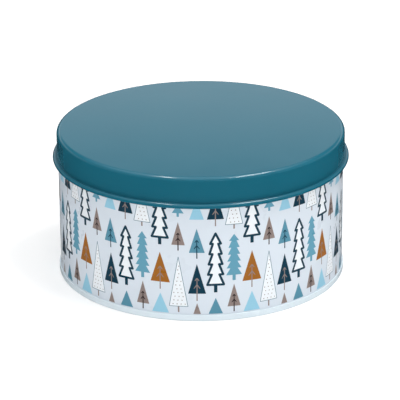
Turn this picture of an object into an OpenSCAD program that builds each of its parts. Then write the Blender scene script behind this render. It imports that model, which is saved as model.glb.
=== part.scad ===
// Round slip-lid cookie tin: a drawn lid, a rolled wall with a lock side seam, and a seamed base.
// Millimetres, +Z up, origin on the axis at the plane the tin stands on, side seam at +Y.
// Every piece is one folded sheet, drawn as a profile of straight runs and round bends.

/* [Body] */
// Outside diameter of the rolled wall
body_d = 188; // [120:1:240]
// Height of the closed tin
total_h = 97; // [60:1:160]
// Thickness of the tinplate
sheet = 0.25; // [0.2:0.01:0.3]
// Outside radius of the curl along the wall's top edge
curl_r = 1.2; // [0.9:0.1:1.4]

/* [Lid] */
// Height of the lid, from the bottom of its bead to its flat top
lid_h = 20; // [14:1:26]
// Outside radius of the rounded shoulder
shoulder_r = 2.7; // [2.5:0.1:3.2]
// Outside radius of the rolled bead along the lid's edge
bead_r = 1.55; // [1.2:0.05:2]
// Radial gap between the wall and the lid's skirt
lid_gap = 0.4; // [0.35:0.05:0.6]

/* [Base seam] */
// Height of the double seam around the foot
seam_h = 4; // [3:0.1:4.5]
// Height of the floor's upper face above the standing plane
floor_z = 4.8; // [4:0.1:6]
// Clear gap between neighbouring layers of the seam
layer_gap = 0.05; // [0.03:0.01:0.08]

/* [Side seam] */
// Width of the four folded layers inside the wall
lock_w = 6; // [4:0.5:8]
// Width of the flat that the seam leaves on the wall, beyond each side of the folds
lock_flat = 2; // [1.5:0.5:4]
// How far the folds stop short of the curl and of the floor, where the sheet only laps
lock_inset = 3; // [2:0.5:6]

/* [Hidden] */
$fn = 96;
wall_ro = body_d / 2;
wall_ri = wall_ro - sheet;
// How near the curl's edge comes to the wall it turns back to
roll_gap = 0.11;
// Smallest gap between the lid and the wall
running_gap = 0.3;

// Lid
skirt_ri = wall_ro + lid_gap;
skirt_ro = skirt_ri + sheet;
bead_x = skirt_ri + bead_r;
bead_z = total_h - lid_h + bead_r;
// Angle left open between the bead's hidden edge and the bottom of the skirt
bead_opening = 30;
shoulder_x = skirt_ro - shoulder_r;
shoulder_z = total_h - shoulder_r;

// Wall top: its curl sits in the lid's rounded corner, a running gap away from it
curl_x = wall_ro - curl_r;
curl_reach = shoulder_r - sheet - running_gap - curl_r;
curl_z = shoulder_z + sqrt(pow(curl_reach, 2) - pow(curl_x - shoulder_x, 2));
curl_end = 360 - acos(1 - (sheet + roll_gap) / curl_r);

// Double seam: five layers, counted outwards from the base's wall
hook_step = sheet + layer_gap;
end_hook_ri = wall_ro + layer_gap;
body_hook_ri = end_hook_ri + hook_step;
seam_ri = wall_ri - sheet;
seam_ro = body_hook_ri + hook_step + sheet;
fold_r = layer_gap + sheet * 1.5;
foot_r = 0.45;
body_fold_x = wall_ri + fold_r;
body_fold_z = sheet + layer_gap + fold_r;
end_fold_x = seam_ro - fold_r;
end_fold_z = seam_h - fold_r;
hook_len = end_fold_z - body_fold_z - sheet - layer_gap;
floor_bend_r = 0.8;

// Side seam: four layers, counted inwards from the wall's outer face, on a flat at +Y
lap_bottom = floor_z + 0.2;
lap_top = curl_z - curl_r - 0.2;
lock_bottom = floor_z + lock_inset;
lock_top = curl_z - curl_r - lock_inset;
// Overlap that joins the folded strip to the sheet around it
weld = 0.3;
flat_half = lock_w / 2 + lock_flat;
flat_y = sqrt(pow(wall_ro, 2) - pow(flat_half + 2 * weld, 2)) - sheet;
lock_fold_x = lock_w / 2 - fold_r;
joggle_r = (3 * hook_step + sheet) / 2;
joggle_x = -lock_w / 2 - layer_gap - sheet + joggle_r;
joggle_out_x = joggle_x - 2 * joggle_r + sheet;

// Sector-shaped outline around the origin, wider than radius r, between two angles
module wedge(r, from, to) {
    steps = ceil((to - from) / 45);
    polygon([[0, 0], for (k = [0:steps])
        let (a = from + (to - from) * k / steps) 2 * r * [cos(a), sin(a)]]);
}

// Sheet bent round (x, z) between two angles, with outside radius r
module bend(x, z, r, from, to) {
    translate([x, z])
        intersection() {
            difference() {
                circle(r);
                circle(r - sheet);
            }
            wedge(r, from, to);
        }
}

// Straight upright sheet whose inner face is at radius x
module upright(x, z_from, z_to) {
    translate([x, z_from]) square([sheet, z_to - z_from]);
}

// Straight level sheet whose lower face is at height z
module level(z, x_from, x_to) {
    translate([x_from, z]) square([x_to - x_from, sheet]);
}

// Lid: flat panel, round shoulder, straight skirt, and a bead that leaves the skirt outwards
// and rolls under, so that the lid's outer face shows all round it
module lid() {
    color([0.13, 0.39, 0.47])
        rotate_extrude() {
            level(total_h - sheet, 0, shoulder_x);
            bend(shoulder_x, shoulder_z, shoulder_r, 0, 90);
            upright(skirt_ri, bead_z, shoulder_z);
            bend(bead_x, bead_z, bead_r, bead_opening - 180, 180);
        }
}

// Wall sheet: inward curl at the top, and a hook folded outwards and up at the foot
module wall_sheet() {
    rotate_extrude() {
        bend(curl_x, curl_z, curl_r, 0, curl_end);
        upright(wall_ri, body_fold_z, curl_z);
        bend(body_fold_x, body_fold_z, fold_r, 180, 360);
        upright(body_hook_ri, body_fold_z, body_fold_z + hook_len);
    }
}

// Single layer that laps the seam inside, from near the floor to near the curl
module seam_lap() {
    half = lock_w / wall_ri * 90 / PI;
    rotate([0, 0, 90 - half])
        rotate_extrude(angle = 2 * half)
            translate([wall_ri - sheet, lap_bottom])
                square([1.5 * sheet, lap_top - lap_bottom]);
}

// Plan of the lock seam: two hooked edges, seen along the wall with outside up
module lock_plan() {
    // Edge from the right: outer layer, fold, and its hook in the third layer
    level(flat_y, -lock_fold_x, flat_half + weld);
    bend(-lock_fold_x, flat_y + sheet - fold_r, fold_r, 90, 270);
    level(flat_y - 2 * hook_step, -lock_fold_x, lock_fold_x);
    // Edge from the left: step inwards, inner layer, fold, and its hook in the second layer
    level(flat_y, -flat_half - weld, joggle_out_x);
    bend(joggle_out_x, flat_y + sheet - joggle_r, joggle_r, 0, 90);
    bend(joggle_x, flat_y - 3 * hook_step + joggle_r, joggle_r, 180, 270);
    level(flat_y - 3 * hook_step, joggle_x, lock_fold_x);
    bend(lock_fold_x, flat_y - hook_step + sheet - fold_r, fold_r, -90, 90);
    level(flat_y - hook_step, -lock_fold_x, lock_fold_x);
}

// Space that the lock seam takes the place of
module lock_room() {
    translate([-flat_half, flat_y - 1, lock_bottom])
        cube([2 * flat_half, 2, lock_top - lock_bottom]);
}

// Rolled wall, closed by a lock seam that is only a lap near both ends
module body_wall() {
    color([0.86, 0.91, 0.94]) {
        difference() {
            union() {
                wall_sheet();
                seam_lap();
            }
            lock_room();
        }
        translate([0, 0, lock_bottom - weld])
            linear_extrude(lock_top - lock_bottom + 2 * weld) lock_plan();
    }
}

// Base: raised floor, with an edge folded under the wall and hooked over its outside
module base() {
    color([0.9, 0.93, 0.95])
        rotate_extrude() {
            level(floor_z - sheet, 0, wall_ri - floor_bend_r);
            bend(wall_ri - floor_bend_r, floor_z - floor_bend_r, floor_bend_r, 0, 90);
            upright(seam_ri, foot_r, floor_z - floor_bend_r);
            bend(seam_ri + foot_r, foot_r, foot_r, 180, 270);
            level(0, seam_ri + foot_r, seam_ro - foot_r);
            bend(seam_ro - foot_r, foot_r, foot_r, 270, 360);
            upright(seam_ro - sheet, foot_r, end_fold_z);
            bend(end_fold_x, end_fold_z, fold_r, 0, 180);
            upright(end_hook_ri, end_fold_z - hook_len, end_fold_z);
        }
}

lid();
body_wall();
base();
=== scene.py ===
"""A round slip-lid cookie tin: a painted lid over a printed wall on a white seamed base.

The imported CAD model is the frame. Each of its three nodes is one folded sheet, and each is replaced
here by a finer mesh of the same sheet, whose outside is painted or printed and whose inside is bare
tinplate. Lengths are in millimetres until a mesh is built; Z is up, the tin's axis is the Z axis,
the front faces -Y and the side seam is at the back.
"""

import math

import bpy
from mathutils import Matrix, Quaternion, Vector
from mathutils.geometry import delaunay_2d_cdt


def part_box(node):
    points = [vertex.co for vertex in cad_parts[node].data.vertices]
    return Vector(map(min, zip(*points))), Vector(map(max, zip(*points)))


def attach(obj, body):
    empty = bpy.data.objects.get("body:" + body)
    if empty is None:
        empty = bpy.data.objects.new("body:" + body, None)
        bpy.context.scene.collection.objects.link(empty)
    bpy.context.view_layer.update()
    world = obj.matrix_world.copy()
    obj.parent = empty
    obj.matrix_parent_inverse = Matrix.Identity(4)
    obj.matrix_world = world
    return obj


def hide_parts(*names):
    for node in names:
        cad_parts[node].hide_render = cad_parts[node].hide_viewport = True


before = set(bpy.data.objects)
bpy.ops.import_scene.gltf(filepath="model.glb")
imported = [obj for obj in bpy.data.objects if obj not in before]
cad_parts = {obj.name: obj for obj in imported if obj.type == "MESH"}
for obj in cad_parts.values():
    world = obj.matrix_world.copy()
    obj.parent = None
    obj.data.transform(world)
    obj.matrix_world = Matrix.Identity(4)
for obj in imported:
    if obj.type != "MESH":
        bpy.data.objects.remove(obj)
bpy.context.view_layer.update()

MM = 0.001
LID_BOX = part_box("lid")
WALL_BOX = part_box("body_wall")
BASE_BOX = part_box("base")

# ---------------------------------------------------------------------------------------------
# Sizes, as the CAD model has them
# ---------------------------------------------------------------------------------------------
SHEET = 0.25
TOTAL_H = LID_BOX[1].z / MM
SEAM_RO = BASE_BOX[1].x / MM
LAYER_GAP = 0.05
HOOK_STEP = SHEET + LAYER_GAP
WALL_RO = SEAM_RO - LAYER_GAP - 2 * HOOK_STEP - SHEET
WALL_RI = WALL_RO - SHEET

# Lid
LID_GAP = 0.4
SHOULDER_R = 2.7
GROOVE_R = 0.2
SKIRT_RI = WALL_RO + LID_GAP
SKIRT_RO = SKIRT_RI + SHEET
BEAD_R = (LID_BOX[1].x / MM - SKIRT_RI) / 2
BEAD_X = SKIRT_RI + BEAD_R
BEAD_Z = LID_BOX[0].z / MM + BEAD_R
BEAD_END = -150
SHOULDER_X = SKIRT_RO - SHOULDER_R
SHOULDER_Z = TOTAL_H - SHOULDER_R

# Curl along the top of the wall
CURL_R = 1.2
CURL_X = WALL_RO - CURL_R
CURL_Z = WALL_BOX[1].z / MM - CURL_R
CURL_END = 314

# Double seam round the foot
FLOOR_Z = BASE_BOX[1].z / MM
FLOOR_ABOVE_SEAM = 0.8
SEAM_H = FLOOR_Z - FLOOR_ABOVE_SEAM
FLOOR_BEND_R = 0.8
FOOT_R = 0.45
FOLD_R = LAYER_GAP + 1.5 * SHEET
SEAM_RI = WALL_RI - SHEET
BODY_FOLD_X = WALL_RI + FOLD_R
BODY_FOLD_Z = SHEET + LAYER_GAP + FOLD_R
BODY_HOOK_RI = WALL_RO + LAYER_GAP + HOOK_STEP
END_HOOK_RI = WALL_RO + LAYER_GAP
END_FOLD_X = SEAM_RO - FOLD_R
END_FOLD_Z = SEAM_H - FOLD_R
HOOK_LEN = END_FOLD_Z - BODY_FOLD_Z - HOOK_STEP

# Side seam: distances are measured round the wall from the middle of the seam
LOCK_EDGE = 3.0
LOCK_FLAT = 2.0
FLAT_EASE = 0.6
FLAT_REACH = LOCK_EDGE + LOCK_FLAT + FLAT_EASE
FLAT_Y = math.sqrt(WALL_RO**2 - FLAT_REACH**2) - SHEET
SLIT = LOCK_EDGE + LAYER_GAP / 2
OUT_FOLD_R = (3 * HOOK_STEP + SHEET) / 2
LOCK_INSET = 3.0
LAP_INSET = 0.2
LOCK_LOW = FLOOR_Z + LOCK_INSET
LOCK_HIGH = CURL_Z - CURL_R - LOCK_INSET
LAP_LOW = FLOOR_Z + LAP_INSET
LAP_HIGH = CURL_Z - CURL_R - LAP_INSET
LOCK_EASE = 1.0

ROUND = 2 * math.pi * WALL_RO
TURN_STEPS = 240


# ---------------------------------------------------------------------------------------------
# Outlines of folded sheets: stations (x, z, normal x, normal z) along the outside face
# ---------------------------------------------------------------------------------------------
def run(start, end, normal, steps=1):
    """Straight stretch of sheet."""
    stations = []
    for k in range(steps + 1):
        t = k / steps
        x = start[0] + (end[0] - start[0]) * t
        z = start[1] + (end[1] - start[1]) * t
        stations.append((x, z, *normal))
    return stations


def bend(centre, radius, start, end, hollow=False, step=9):
    """Round bend. Its outside face looks away from the centre, or towards it where hollow."""
    count = max(2, math.ceil(abs(end - start) / step))
    side = -1 if hollow else 1
    stations = []
    for k in range(count + 1):
        a = math.radians(start + (end - start) * k / count)
        c, s = math.cos(a), math.sin(a)
        stations.append((centre[0] + radius * c, centre[1] + radius * s, side * c, side * s))
    return stations


def inside_of(stations):
    """The same sheet's other face."""
    return [(x - SHEET * nx, z - SHEET * nz, -nx, -nz) for x, z, nx, nz in stations]


def lengths(stations):
    """Distance along the outline at each station."""
    total, found = 0.0, [0.0]
    for a, b in zip(stations, stations[1:]):
        total += math.hypot(b[0] - a[0], b[1] - a[1])
        found.append(total)
    return found


# ---------------------------------------------------------------------------------------------
# Mesh building
# ---------------------------------------------------------------------------------------------
class Skin:
    """Faces gathered corner by corner. A corner is (place, normal, place on the bake map)."""

    def __init__(self):
        self.points = {}
        self.faces, self.normals, self.uvs, self.slots = [], [], [], []

    def add(self, corners, slot):
        """One face, turned so that it looks the way its first corner's normal does."""
        indices = []
        kept = []
        for corner in corners:
            key = tuple(round(v * MM, 7) for v in corner[0])
            index = self.points.setdefault(key, len(self.points))
            if index not in indices:
                indices.append(index)
                kept.append(corner)
        if len(kept) < 3:
            return
        a, b, c = (Vector(corner[0]) for corner in kept[:3])
        if (b - a).cross(c - a).dot(Vector(kept[0][1])) < 0:
            indices.reverse()
            kept.reverse()
        self.faces.append(indices)
        self.slots.append(slot)
        self.normals.extend(corner[1] for corner in kept)
        self.uvs.extend(corner[2] for corner in kept)

    def build(self, name, materials):
        """The gathered faces as an object."""
        mesh = bpy.data.meshes.new(name)
        mesh.from_pydata(list(self.points), [], self.faces)
        for material in materials:
            mesh.materials.append(material)
        mesh.polygons.foreach_set("material_index", self.slots)
        mesh.polygons.foreach_set("use_smooth", [True] * len(self.faces))
        layer = mesh.uv_layers.new(name="OFBake")
        layer.data.foreach_set("uv", [v for uv in self.uvs for v in uv])
        mesh.normals_split_custom_set(self.normals)
        piece = bpy.data.objects.new(name, mesh)
        bpy.context.scene.collection.objects.link(piece)
        return piece


def spun(station, angle):
    """Place and normal of an outline's station turned round the axis, from the front."""
    x, z, nx, nz = station
    s, c = math.sin(angle), math.cos(angle)
    return (x * s, -x * c, z), (nx * s, -nx * c, nz)


def revolve(skin, stations, slot, angles, uv_of):
    """Turns an outline round the axis. uv_of(angle, distance along the outline) is its bake map."""
    along = lengths(stations)
    for i in range(len(stations) - 1):
        for a, b in zip(angles, angles[1:]):
            corners = [
                (*spun(stations[k], t), uv_of(t, along[k]))
                for k, t in ((i, a), (i, b), (i + 1, b), (i + 1, a))
            ]
            skin.add(corners, slot)


def edge_band(skin, outside, inside, slot, angles, uv_of):
    """Cut edge of a sheet, between its two faces, at the outline's last station."""
    a, b = outside[-1], inside[-1]
    away = Vector((a[0] - outside[-2][0], a[1] - outside[-2][1])).normalized()
    revolve(skin, [(a[0], a[1], *away), (b[0], b[1], *away)], slot, angles, uv_of)


def disc_map(centre_u, size):
    """Bake map that lays an outline out as a disc, by its distance from the middle."""

    def uv_of(angle, distance):
        r = distance / size * 0.49
        return centre_u + 0.5 * r * math.sin(angle), 0.5 + 0.5 * r * math.cos(angle)

    return uv_of


def folded_disc(name, outside, materials):
    """A lid or a base: one sheet from the axis out to its rolled or folded edge."""
    skin = Skin()
    angles = [2 * math.pi * k / TURN_STEPS for k in range(TURN_STEPS + 1)]
    inside = inside_of(outside)
    size = lengths(outside)[-1]
    inside_map = disc_map(0.75, size)
    revolve(skin, outside, 0, angles, disc_map(0.25, size))
    revolve(skin, inside, 1, angles, inside_map)
    edge_band(skin, outside, inside, 1, angles, lambda t, s: inside_map(t, size + s))
    return skin.build(name, materials)


# ---------------------------------------------------------------------------------------------
# Lid and base
# ---------------------------------------------------------------------------------------------
def lid_outline():
    """Outside of the lid from its middle, over the shoulder and down the skirt, into the rolled bead."""
    groove_x = SKIRT_RO + GROOVE_R
    reach = BEAD_R + GROOVE_R
    groove_z = BEAD_Z + math.sqrt(reach**2 - (BEAD_X - groove_x) ** 2)
    bead_start = math.degrees(math.acos((groove_x - BEAD_X) / reach))
    return (
        run((0, TOTAL_H), (SHOULDER_X, TOTAL_H), (0, 1), 10)
        + bend((SHOULDER_X, SHOULDER_Z), SHOULDER_R, 90, 0, step=6)
        + run((SKIRT_RO, SHOULDER_Z), (SKIRT_RO, groove_z), (1, 0), 3)
        + bend((groove_x, groove_z), GROOVE_R, 180, 180 + bead_start, hollow=True, step=18)
        + bend((BEAD_X, BEAD_Z), BEAD_R, bead_start, BEAD_END)
    )


def base_outline():
    """Outside of the base from its middle, down its own wall, round the foot and over the wall's hook."""
    bend_x, bend_z = WALL_RI - FLOOR_BEND_R, FLOOR_Z - FLOOR_BEND_R
    under = FLOOR_Z - SHEET
    return (
        run((0, under), (bend_x, under), (0, -1), 8)
        + bend((bend_x, bend_z), FLOOR_BEND_R - SHEET, 90, 0, hollow=True, step=15)
        + run((SEAM_RI, bend_z), (SEAM_RI, FOOT_R), (-1, 0))
        + bend((SEAM_RI + FOOT_R, FOOT_R), FOOT_R, 180, 270, step=15)
        + run((SEAM_RI + FOOT_R, 0), (SEAM_RO - FOOT_R, 0), (0, -1))
        + bend((SEAM_RO - FOOT_R, FOOT_R), FOOT_R, 270, 360, step=15)
        + run((SEAM_RO, FOOT_R), (SEAM_RO, END_FOLD_Z), (1, 0))
        + bend((END_FOLD_X, END_FOLD_Z), FOLD_R, 0, 180, step=15)
        + run((END_HOOK_RI, END_FOLD_Z), (END_HOOK_RI, END_FOLD_Z - HOOK_LEN), (-1, 0))
    )


# ---------------------------------------------------------------------------------------------
# Print: little drawings in millimetres, each a list of (ink, outline) with the later ones on top
# ---------------------------------------------------------------------------------------------
GROUND, NAVY, OCHRE, TAUPE, BROWN, BLUE, STEEL, SKY, WHITE, LINE, BARE = range(11)
BRUSH = 1.5
HAIRLINE = 0.38
DOT_R = 0.38
DOT_PITCH = 2.6
DOT_MARGIN = 1.6
DOT_SHIFT = 0.35


def stroke(a, b, width, end_width=None):
    """Straight brush stroke as a four-sided outline."""
    end_width = width if end_width is None else end_width
    along = Vector((b[0] - a[0], b[1] - a[1])).normalized()
    side = Vector((-along.y, along.x)) / 2
    return [
        (a[0] + side.x * width, a[1] + side.y * width),
        (a[0] - side.x * width, a[1] - side.y * width),
        (b[0] - side.x * end_width, b[1] - side.y * end_width),
        (b[0] + side.x * end_width, b[1] + side.y * end_width),
    ]


def spot(centre, radius, sides=8):
    """Round dot."""
    turns = [2 * math.pi * (k + 0.5) / sides for k in range(sides)]
    return [(centre[0] + radius * math.cos(t), centre[1] + radius * math.sin(t)) for t in turns]


def drawn_line(points, width, ink, round_corners=True):
    """Closed line through the points, with round corners where the line is thick."""
    drawn = [(ink, stroke(a, b, width)) for a, b in zip(points, points[1:] + points[:1])]
    if round_corners:
        drawn += [(ink, spot(p, width / 2)) for p in points]
    return drawn


def cone_tree(half, height, ink, stem=None):
    """Plain triangle; with an ink for its stem it stands on one and carries two chevrons."""
    drawn = [(ink, [(-half, 0), (half, 0), (0, height)])]
    if stem is not None:
        drawn.append((stem, stroke((0, -0.24 * height), (0, 0.52 * height), 0.8, 0.5)))
        for share in (0.3, 0.52):
            reach = 0.5 * half * (1 - share)
            for side in (-1, 1):
                end = (side * reach, share * height - 1.3 * reach)
                drawn.append((stem, stroke((0, share * height), end, 0.7, 0.5)))
    return drawn


def tiered_outline(half, height, tiers):
    """Crown of a fir in even tiers, from its tip round by the right."""
    side = []
    for k in range(1, tiers + 1):
        reach = half * (0.55 + 0.45 * k / tiers)
        level = height * (1 - k / tiers)
        side += [(reach, level), (0.5 * reach, level)]
    side.pop()
    return [(0, height), *side, *((-x, z) for x, z in reversed(side))]


def outlined_fir(half, height):
    """White fir in tiers with a thick outline and a plain trunk."""
    outline = tiered_outline(half, height, 5)
    trunk = stroke((0, 0), (0, -0.15 * height), 2.2)
    return [(WHITE, outline), (NAVY, trunk), *drawn_line(outline, BRUSH, NAVY)]


def solid_fir(half, height):
    """Fir in tiers of one flat ink."""
    trunk = stroke((0, 0), (0, -0.13 * height), 0.4 * half)
    return [(BLUE, tiered_outline(half, height, 6)), (BLUE, trunk)]


def dotted_cone(half, height):
    """White triangle with a hairline outline, rows of dots and a plain trunk."""
    outline = [(-half, 0), (half, 0), (0, height)]
    drawn = [(TAUPE, stroke((0, 0), (0, -0.12 * height), 1.0)), (WHITE, outline)]
    drawn += drawn_line(outline, HAIRLINE, LINE, round_corners=False)
    rows = int((height - 2 * DOT_MARGIN) / DOT_PITCH)
    for row in range(rows):
        level = DOT_MARGIN + row * DOT_PITCH
        room = 2 * half * (1 - level / height) - 2 * DOT_MARGIN
        count = 1 + int(max(0.0, room) / DOT_PITCH)
        for k in range(count):
            across = DOT_PITCH * (k - (count - 1) / 2) + (-1) ** row * DOT_SHIFT
            drawn.append((TAUPE, spot((across, level), DOT_R, 6)))
    return drawn


# One repeat of the print, a generic winter pattern: evenly spaced columns of (height, drawing)
COLUMNS = [
    [
        (4.5, cone_tree(4.6, 11.0, STEEL)),
        (24.5, outlined_fir(5.3, 35.0)),
        (69.0, cone_tree(5.4, 19.0, NAVY, TAUPE)),
    ],
    [
        (9.0, cone_tree(4.3, 15.5, TAUPE, BROWN)),
        (30.5, solid_fir(5.2, 28.0)),
        (65.0, dotted_cone(5.6, 25.0)),
    ],
    [
        (4.5, cone_tree(5.6, 13.5, SKY)),
        (25.5, cone_tree(6.4, 20.5, OCHRE, TAUPE)),
        (56.0, outlined_fir(5.3, 33.0)),
    ],
    [
        (9.5, dotted_cone(6.0, 34.0)),
        (51.5, cone_tree(4.3, 15.5, TAUPE, BROWN)),
        (73.0, solid_fir(3.8, 18.5)),
    ],
    [
        (4.5, cone_tree(2.4, 7.5, TAUPE)),
        (18.5, cone_tree(5.7, 20.5, NAVY, TAUPE)),
        (46.5, cone_tree(5.0, 16.5, STEEL, NAVY)),
        (69.0, cone_tree(4.6, 13.5, SKY)),
    ],
]
PITCH = ROUND / 10
# The seam's two edges fall midway between columns
REPEAT = [
    (SLIT + (k + 0.5) * PITCH / len(COLUMNS), height, drawing)
    for k, column in enumerate(COLUMNS)
    for height, drawing in column
]
PRINT_TOP = 93.6
SMALLEST_AREA = 0.01


def cut_at(outline, axis, limit, keep_above):
    """Part of an outline on one side of a level or upright line."""

    def kept(p):
        return p[axis] >= limit if keep_above else p[axis] <= limit

    result = []
    for a, b in zip(outline, outline[1:] + outline[:1]):
        if kept(a):
            result.append(a)
        if kept(a) != kept(b):
            t = (limit - a[axis]) / (b[axis] - a[axis])
            cross = [a[k] + (b[k] - a[k]) * t for k in (0, 1)]
            cross[axis] = limit
            result.append(tuple(cross))
    return result


def area_of(outline):
    """Signed area: positive where the outline runs anticlockwise."""
    pairs = zip(outline, outline[1:] + outline[:1])
    return sum(a[0] * b[1] - b[0] * a[1] for a, b in pairs) / 2


def printed_outlines(start, end):
    """All the drawings of the whole sheet, cut where the sheet's two edges meet in the seam."""
    found = []
    for turn in range(math.floor(start / PITCH) - 1, math.ceil(end / PITCH) + 2):
        for around, height, drawing in REPEAT:
            for ink, outline in drawing:
                moved = [(x + around + turn * PITCH, z + height) for x, z in outline]
                for axis, limit, above in ((0, start, True), (0, end, False), (1, PRINT_TOP, False)):
                    moved = cut_at(moved, axis, limit, above)
                area = area_of(moved)
                if abs(area) > SMALLEST_AREA:
                    found.append((ink, moved if area > 0 else moved[::-1]))
    return found


# ---------------------------------------------------------------------------------------------
# Wall
# ---------------------------------------------------------------------------------------------
STEEPEST = 0.97
SLOPE_STEP = 0.02
SEAM_SHARE = 4
SHARP_STEP = 0.01
PLAIN_ROWS = [30, 60]
INSIDE_ONLY = 1
CUT_TOLERANCE = 1e-5


def from_seam(around):
    """Distance round the wall from the middle of the side seam."""
    s = (around + ROUND / 2) % ROUND
    return s - ROUND if s > ROUND / 2 else s


def ease(low, high, value):
    """Smooth step from 0 at low to 1 at high."""
    t = min(1.0, max(0.0, (value - low) / (high - low)))
    return t * t * (3 - 2 * t)


def lock_share(z):
    """1 where the sheet is folded into the lock, 0 where it only laps, near both ends."""
    up = ease(LOCK_LOW - LOCK_EASE, LOCK_LOW + LOCK_EASE, z)
    return up * (1 - ease(LOCK_HIGH - LOCK_EASE, LOCK_HIGH + LOCK_EASE, z))


def sagitta(radius, distance):
    """How far an arc has dropped at a distance from where it starts, short of its upright end."""
    d = min(max(distance, 0.0), STEEPEST * radius)
    return radius - math.sqrt(radius**2 - d**2)


def outer_radius(around, z):
    """Outer face of the wall: round, but flat at the seam, with a groove where the two edges meet."""
    s = from_seam(around)
    if abs(s) >= FLAT_REACH:
        return WALL_RO
    if s < SLIT:
        groove = sagitta(FOLD_R, s - (SLIT - FOLD_R - LAYER_GAP / 2))
    else:
        groove = sagitta(OUT_FOLD_R, SLIT + OUT_FOLD_R + LAYER_GAP / 2 - s)
    flat = (FLAT_Y + SHEET - groove) / math.cos(s / WALL_RO)
    return WALL_RO + lock_share(z) * (flat - WALL_RO)


def lock_depth(s):
    """How far the folded layers stand inside the wall."""
    full = 3 * HOOK_STEP
    inner_r = OUT_FOLD_R - SHEET
    step_in = SLIT + SHEET + LAYER_GAP / 2
    if s < -LOCK_EDGE or s > step_in + inner_r:
        return 0.0
    if s < 0:
        return full - sagitta(FOLD_R, FOLD_R - LOCK_EDGE - s)
    if s < step_in:
        return full - sagitta(OUT_FOLD_R, s - (step_in - OUT_FOLD_R))
    return sagitta(inner_r, step_in + inner_r - s)


def inner_radius(around, z):
    """Inner face of the wall, with the folded or lapped layers of the side seam."""
    s = from_seam(around)
    if abs(s) >= FLAT_REACH:
        return WALL_RI
    lapped = SHEET if abs(s) <= LOCK_EDGE and LAP_LOW <= z <= LAP_HIGH else 0.0
    locked = (FLAT_Y - lock_depth(s)) / math.cos(s / WALL_RO)
    plain = WALL_RI - lapped
    return plain + lock_share(z) * (locked - plain)


def wall_corner(around, z, radius_of, side):
    """Place and normal on one face of the wall."""

    def place(u, h):
        t = u / WALL_RO
        r = radius_of(u, h)
        return Vector((r * math.sin(t), -r * math.cos(t), h))

    here = place(around, z)
    if abs(from_seam(around)) > FLAT_REACH + 5 * SLOPE_STEP:
        t = around / WALL_RO
        return here, Vector((side * math.sin(t), -side * math.cos(t), 0))
    across = place(around + SLOPE_STEP, z) - place(around - SLOPE_STEP, z)
    upward = place(around, z + SLOPE_STEP) - place(around, z - SLOPE_STEP)
    return here, across.cross(upward).normalized() * side


def seam_columns():
    """Distances from the seam's middle at which the wall's faces need an upright edge."""
    near_slit = [-0.6, -0.42, -0.25, -0.14, -0.07, -0.03, 0.0, 0.03, 0.08, 0.16, 0.28, 0.42, 0.6, 0.75]
    near_fold = [-0.01, 0.0, 0.03, 0.1, 0.22, 0.42]
    columns = [SLIT + d for d in near_slit] + [-LOCK_EDGE + d for d in near_fold]
    columns += [-FLAT_REACH, -4.4, -1.3, 0.0, 1.3, 4.6, FLAT_REACH]
    return sorted(columns)


def wall_columns():
    """Places round the wall of its upright edges, from the seam's slit round to it again."""
    start = -ROUND / 2 + SLIT
    seam = seam_columns()
    first = [-ROUND / 2 + s for s in seam if s >= SLIT]
    last = [ROUND / 2 + s for s in seam if s <= SLIT]
    count = TURN_STEPS - SEAM_SHARE
    plain = [first[-1] + (last[0] - first[-1]) * k / count for k in range(1, count)]
    columns = first + plain + last
    columns[0], columns[-1] = start, start + ROUND
    return columns


# Bake map of the wall, in millimetres: strips of both faces, then shelves for the curl and the foot
STRIPS = 2
MAP_SPAN = 440.0
MAP_MARGIN = 0.01
MAP_FILL = 1 - 2 * MAP_MARGIN
STRIP_GAP = 2
INSIDE_SHELF = 200
CURL_SHELF = 402
SHELF_STEP = 18
SHELF_WIDTH = 0.67
OTHER_SIDE = 8
CUT_EDGE = 15.5


def strip_map(columns, shelf):
    """Bake map of the wall: strips laid one above another, starting at a height in millimetres."""
    start, span = columns[0], ROUND / STRIPS

    def uv_of(around, height, middle, strip_height):
        strip = min(STRIPS - 1, int((middle - start) / span))
        u = around - start - strip * span
        v = shelf + strip * (strip_height + STRIP_GAP) + height
        return MAP_MARGIN + MAP_FILL * u / MAP_SPAN, MAP_MARGIN + MAP_FILL * v / MAP_SPAN

    return uv_of


def print_wall_face(skin, columns):
    """Outer face of the wall, cut up so that every face carries one ink."""
    low, high = BODY_FOLD_Z, CURL_Z
    points, edges, faces = [], [], []

    def outline(corners):
        first = len(points)
        points.extend(Vector(c) for c in corners)
        faces.append(list(range(first, len(points))))

    def line(a, b):
        points.extend((Vector(a), Vector(b)))
        edges.append((len(points) - 2, len(points) - 1))

    start, end = columns[0], columns[-1]
    outline([(start, low), (end, low), (end, high), (start, high)])
    inks = [GROUND]
    for ink, drawn in printed_outlines(start, end):
        outline(drawn)
        inks.append(ink)
    for u in columns[1:-1]:
        line((u, low), (u, high))
    for middle in (LOCK_LOW, LOCK_HIGH):
        for d in (-1.0, -0.7, -0.35, 0.0, 0.35, 0.7, 1.0):
            z = middle + d * LOCK_EASE
            line((start, z), (-ROUND / 2 + FLAT_REACH, z))
            line((ROUND / 2 - FLAT_REACH, z), (end, z))
    cut_up = delaunay_2d_cdt(points, edges, faces, INSIDE_ONLY, CUT_TOLERANCE, True)
    flat, _, triangles, _, _, sources = cut_up
    uv_of = strip_map(columns, 0)
    cache = [wall_corner(p.x, p.y, outer_radius, 1) for p in flat]
    for triangle, source in zip(triangles, sources):
        middle = sum(flat[k].x for k in triangle) / 3
        corners = [
            (*cache[k], uv_of(flat[k].x, flat[k].y - low, middle, high - low)) for k in triangle
        ]
        skin.add(corners, inks[max(source)])


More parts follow.
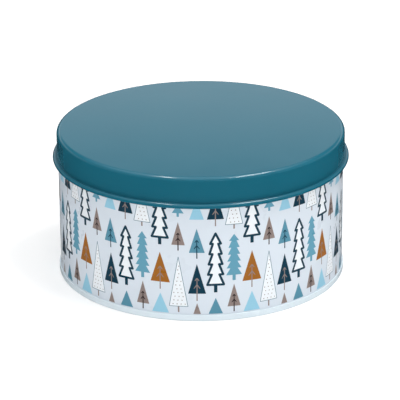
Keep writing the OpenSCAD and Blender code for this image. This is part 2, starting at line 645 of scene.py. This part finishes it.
def bare_wall_face(skin, columns):
    """Inner face of the wall, with the lock seam's folded layers standing on it."""
    low, high = BODY_FOLD_Z, CURL_Z
    eases = [d * LOCK_EASE for d in (-1.0, -0.6, -0.2, 0.2, 0.6, 1.0)]
    rows = [low, LAP_LOW - SHARP_STEP, LAP_LOW, *PLAIN_ROWS, LAP_HIGH, LAP_HIGH + SHARP_STEP, high]
    rows = sorted(rows + [LOCK_LOW + d for d in eases] + [LOCK_HIGH + d for d in eases])
    uv_of = strip_map(columns, INSIDE_SHELF)
    grid = [[wall_corner(u, z, inner_radius, -1) for u in columns] for z in rows]
    for j in range(len(rows) - 1):
        for i in range(len(columns) - 1):
            middle = (columns[i] + columns[i + 1]) / 2
            corners = [
                (*grid[r][c], uv_of(columns[c], rows[r] - low, middle, high - low))
                for r, c in ((j, i), (j, i + 1), (j + 1, i + 1), (j + 1, i))
            ]
            skin.add(corners, BARE)


def body_wall(materials):
    """The wall's two faces, its curled top, its hooked foot and their cut edges."""
    columns = wall_columns()
    angles = [u / WALL_RO for u in columns]
    skin = Skin()
    print_wall_face(skin, columns)
    bare_wall_face(skin, columns)
    curl = bend((CURL_X, CURL_Z), CURL_R, 0, CURL_END)
    hook = run((BODY_HOOK_RI, BODY_FOLD_Z), (BODY_HOOK_RI, BODY_FOLD_Z + HOOK_LEN), (-1, 0))
    foot = bend((BODY_FOLD_X, BODY_FOLD_Z), FOLD_R - SHEET, 180, 360, hollow=True, step=20) + hook
    for k, stations in enumerate((curl, foot)):
        other = inside_of(stations)
        shelf = (CURL_SHELF + SHELF_STEP * k) / MAP_SPAN

        def uv_of(angle, distance, shelf=shelf):
            return MAP_MARGIN + SHELF_WIDTH * (angle - angles[0]) / math.tau, shelf + distance / MAP_SPAN

        revolve(skin, stations, GROUND, angles, uv_of)
        revolve(skin, other, BARE, angles, lambda t, s: uv_of(t, s + OTHER_SIDE))
        edge_band(skin, stations, other, BARE, angles, lambda t, s: uv_of(t, s + CUT_EDGE))
    return skin.build("printed_wall", materials)


# ---------------------------------------------------------------------------------------------
# Materials
# ---------------------------------------------------------------------------------------------
def linear(red, green, blue):
    """Screen colour, 0 to 255, as the linear colour that shaders take."""

    def one(value):
        v = value / 255
        return v / 12.92 if v <= 0.04045 else ((v + 0.055) / 1.055) ** 2.4

    return one(red), one(green), one(blue), 1.0


def shader(name):
    """New material, its node tree and its shader."""
    material = bpy.data.materials.new(name)
    material.use_nodes = True
    tree = material.node_tree
    return material, tree, tree.nodes["Principled BSDF"]


def noise(tree, scale, detail=2.0, stretch=None):
    """Noise in the object's own space; scale is in features per metre."""
    coordinates = tree.nodes.new("ShaderNodeTexCoord")
    texture = tree.nodes.new("ShaderNodeTexNoise")
    texture.inputs["Scale"].default_value = scale
    texture.inputs["Detail"].default_value = detail
    if stretch is None:
        tree.links.new(coordinates.outputs["Object"], texture.inputs["Vector"])
    else:
        mapping = tree.nodes.new("ShaderNodeMapping")
        mapping.inputs["Scale"].default_value = stretch
        tree.links.new(coordinates.outputs["Object"], mapping.inputs["Vector"])
        tree.links.new(mapping.outputs["Vector"], texture.inputs["Vector"])
    return texture.outputs["Fac"]


def between(tree, value, low, high):
    """Noise spread over a range."""
    spread = tree.nodes.new("ShaderNodeMapRange")
    spread.inputs["From Min"].default_value = 0.3
    spread.inputs["From Max"].default_value = 0.7
    spread.inputs["To Min"].default_value = low
    spread.inputs["To Max"].default_value = high
    tree.links.new(value, spread.inputs["Value"])
    return spread.outputs["Result"]


def bump(tree, bsdf, height, strength, distance):
    """Fine relief; distance is its depth in metres."""
    node = tree.nodes.new("ShaderNodeBump")
    node.inputs["Strength"].default_value = strength
    node.inputs["Distance"].default_value = distance
    tree.links.new(height, node.inputs["Height"])
    tree.links.new(node.outputs["Normal"], bsdf.inputs["Normal"])


def coating(name, colour, roughness, specular=0.5, peel=0.1):
    """Gloss coating on sheet metal: uneven gloss and a fine orange peel."""
    material, tree, bsdf = shader(name)
    bsdf.inputs["Base Color"].default_value = linear(*colour)
    bsdf.inputs["Specular IOR Level"].default_value = specular
    gloss = between(tree, noise(tree, 60, 3), roughness - 0.03, roughness + 0.03)
    tree.links.new(gloss, bsdf.inputs["Roughness"])
    bump(tree, bsdf, noise(tree, 700, 2), peel, 0.00002)
    return material


def lid_paint():
    """Teal stove enamel, its colour drifting a little over the sheet."""
    material, tree, bsdf = shader("teal_enamel")
    mix = tree.nodes.new("ShaderNodeMix")
    mix.data_type = "RGBA"
    mix.inputs["A"].default_value = linear(20, 95, 115)
    mix.inputs["B"].default_value = linear(22, 97, 117)
    tree.links.new(between(tree, noise(tree, 22, 4), 0.0, 1.0), mix.inputs["Factor"])
    tree.links.new(mix.outputs["Result"], bsdf.inputs["Base Color"])
    bsdf.inputs["Specular IOR Level"].default_value = 0.5
    tree.links.new(between(tree, noise(tree, 45, 3), 0.135, 0.155), bsdf.inputs["Roughness"])
    bump(tree, bsdf, noise(tree, 600, 2), 0.12, 0.00002)
    return material


def tinplate():
    """Bare tinplate: bright metal with the faint lengthways grain of the rolled sheet."""
    material, tree, bsdf = shader("bare_tinplate")
    bsdf.inputs["Base Color"].default_value = linear(232, 233, 233)
    bsdf.inputs["Metallic"].default_value = 0.8
    tree.links.new(between(tree, noise(tree, 130, 4, (1, 16, 1)), 0.3, 0.45), bsdf.inputs["Roughness"])
    bump(tree, bsdf, noise(tree, 500, 3, (1, 10, 1)), 0.15, 0.00002)
    return material


# ---------------------------------------------------------------------------------------------
# Studio
# ---------------------------------------------------------------------------------------------
def aimed(thing, place, target, roll=0.0):
    """Puts a camera or a lamp in its place, looking at the target; roll is in degrees."""
    thing.location = place
    thing.rotation_mode = "QUATERNION"
    turn = (Vector(target) - Vector(place)).to_track_quat("-Z", "Y")
    thing.rotation_quaternion = turn @ Quaternion((0, 0, 1), math.radians(roll))


def make_camera():
    """Long lens from a little above, a touch out of level."""
    elevation = math.radians(21.68)
    distance = 1.565
    orbit_height = 0.045
    data = bpy.data.cameras.new("camera")
    data.sensor_width = 36
    data.lens = 211.9
    data.clip_end = 20
    camera = bpy.data.objects.new("camera", data)
    bpy.context.scene.collection.objects.link(camera)
    place = (0, -distance * math.cos(elevation), orbit_height + distance * math.sin(elevation))
    aimed(camera, place, (-0.0007, 0, 0.0449), roll=-0.35)
    bpy.context.scene.camera = camera


def softbox(name, place, target, size, power):
    """Rectangular studio lamp."""
    data = bpy.data.lights.new(name, "AREA")
    data.shape = "RECTANGLE"
    data.size, data.size_y = size
    data.energy = power
    lamp = bpy.data.objects.new(name, data)
    bpy.context.scene.collection.objects.link(lamp)
    aimed(lamp, place, target)
    return lamp


# The surround's brightness at heights from straight down, -1, to straight up, 1
SURROUND = [
    (-0.05, 0.02),
    (0.1, 0.1),
    (0.22, 0.35),
    (0.305, 1.45),
    (0.355, 0.15),
    (0.6, 0.15),
    (0.85, 1.2),
    (1.0, 1.4),
]


def make_world():
    """Studio surround: dark below, a bright band above the horizon, and bright again overhead."""
    world = bpy.data.worlds.new("studio")
    world.use_nodes = True
    tree = world.node_tree
    coordinates = tree.nodes.new("ShaderNodeTexCoord")
    split = tree.nodes.new("ShaderNodeSeparateXYZ")
    ramp = tree.nodes.new("ShaderNodeValToRGB")
    spread = tree.nodes.new("ShaderNodeMapRange")
    spread.inputs["From Min"].default_value = -1
    spread.inputs["From Max"].default_value = 1
    brightest = 2.0
    elements = ramp.color_ramp.elements
    for k, (height, level) in enumerate(SURROUND):
        place = (height + 1) / 2
        stop = elements[k] if k < 2 else elements.new(place)
        stop.position = place
        stop.color = (level / brightest, level / brightest, level / brightest, 1)
    tree.links.new(coordinates.outputs["Generated"], split.inputs["Vector"])
    tree.links.new(split.outputs["Z"], spread.inputs["Value"])
    tree.links.new(spread.outputs["Result"], ramp.inputs["Fac"])
    background = tree.nodes["Background"]
    tree.links.new(ramp.outputs["Color"], background.inputs["Color"])
    background.inputs["Strength"].default_value = brightest
    bpy.context.scene.world = world


def make_floor():
    """Pale floor that glows a little, more so away from the lamps; the tin doesn't reflect it."""
    material, tree, bsdf = shader("pale_floor")
    bsdf.inputs["Base Color"].default_value = (0.86, 0.86, 0.86, 1)
    bsdf.inputs["Roughness"].default_value = 0.9
    bsdf.inputs["Specular IOR Level"].default_value = 0.1
    bsdf.inputs["Emission Color"].default_value = (1, 1, 1, 1)
    coordinates = tree.nodes.new("ShaderNodeTexCoord")
    distance = tree.nodes.new("ShaderNodeVectorMath")
    distance.operation = "LENGTH"
    glow = tree.nodes.new("ShaderNodeMapRange")
    glow.inputs["From Min"].default_value = 0.3
    glow.inputs["From Max"].default_value = 2.0
    glow.inputs["To Min"].default_value = 0.17
    glow.inputs["To Max"].default_value = 0.6
    tree.links.new(coordinates.outputs["Object"], distance.inputs[0])
    tree.links.new(distance.outputs["Value"], glow.inputs["Value"])
    tree.links.new(glow.outputs["Result"], bsdf.inputs["Emission Strength"])
    bpy.ops.mesh.primitive_plane_add(size=30, location=(0, 0, -0.0002))
    floor = bpy.context.object
    floor.name = "floor"
    floor.data.materials.append(material)
    floor.visible_glossy = False


def make_backdrop():
    """Pale drop behind the floor, for the camera only, so that it changes no reflections."""
    material, _, bsdf = shader("pale_backdrop")
    bsdf.inputs["Base Color"].default_value = (0, 0, 0, 1)
    bsdf.inputs["Specular IOR Level"].default_value = 0
    bsdf.inputs["Emission Color"].default_value = (1, 1, 1, 1)
    bsdf.inputs["Emission Strength"].default_value = 1.0
    bpy.ops.mesh.primitive_uv_sphere_add(segments=64, ring_count=32, radius=9)
    backdrop = bpy.context.object
    backdrop.name = "backdrop"
    backdrop.data.materials.append(material)
    backdrop.visible_diffuse = False
    backdrop.visible_glossy = False
    backdrop.visible_transmission = False
    backdrop.visible_shadow = False


make_camera()
make_world()
make_floor()
make_backdrop()
softbox("key_right", (0.52, -0.1, 1.43), (0, 0, 0.09), (0.88, 0.12), 10.5)
softbox("key_left", (-0.36, -0.1, 1.45), (0, 0, 0.09), (0.28, 0.12), 4.4)
front_key = softbox("front_key", (0.3, -1.9, 0.6), (0, 0, 0.05), (0.8, 0.6), 8)
front_key.visible_glossy = False
bpy.context.scene.view_settings.view_transform = "Standard"

# ---------------------------------------------------------------------------------------------
# The tin
# ---------------------------------------------------------------------------------------------
tin_inside = tinplate()
white_coat = coating("white_enamel", (222, 234, 241), 0.25)
inks = {
    GROUND: ("ground_ink", (212, 221, 230)),
    NAVY: ("navy_ink", (4, 56, 76)),
    OCHRE: ("ochre_ink", (160, 99, 28)),
    TAUPE: ("taupe_ink", (141, 126, 121)),
    BROWN: ("brown_ink", (36, 22, 24)),
    BLUE: ("blue_ink", (96, 156, 179)),
    STEEL: ("steel_ink", (84, 142, 164)),
    SKY: ("sky_ink", (147, 200, 222)),
    WHITE: ("white_ink", (233, 238, 242)),
    LINE: ("line_ink", (92, 128, 146)),
}
print_materials = [coating(name, colour, 0.3, specular=0.35) for name, colour in inks.values()]
print_materials.append(tin_inside)

lid = folded_disc("teal_lid", lid_outline(), [lid_paint(), tin_inside])
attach(lid, "lid")
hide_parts("lid")

wall = body_wall(print_materials)
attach(wall, "tin")
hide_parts("body_wall")

base = folded_disc("seamed_base", base_outline(), [white_coat, tin_inside])
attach(base, "tin")
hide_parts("base")
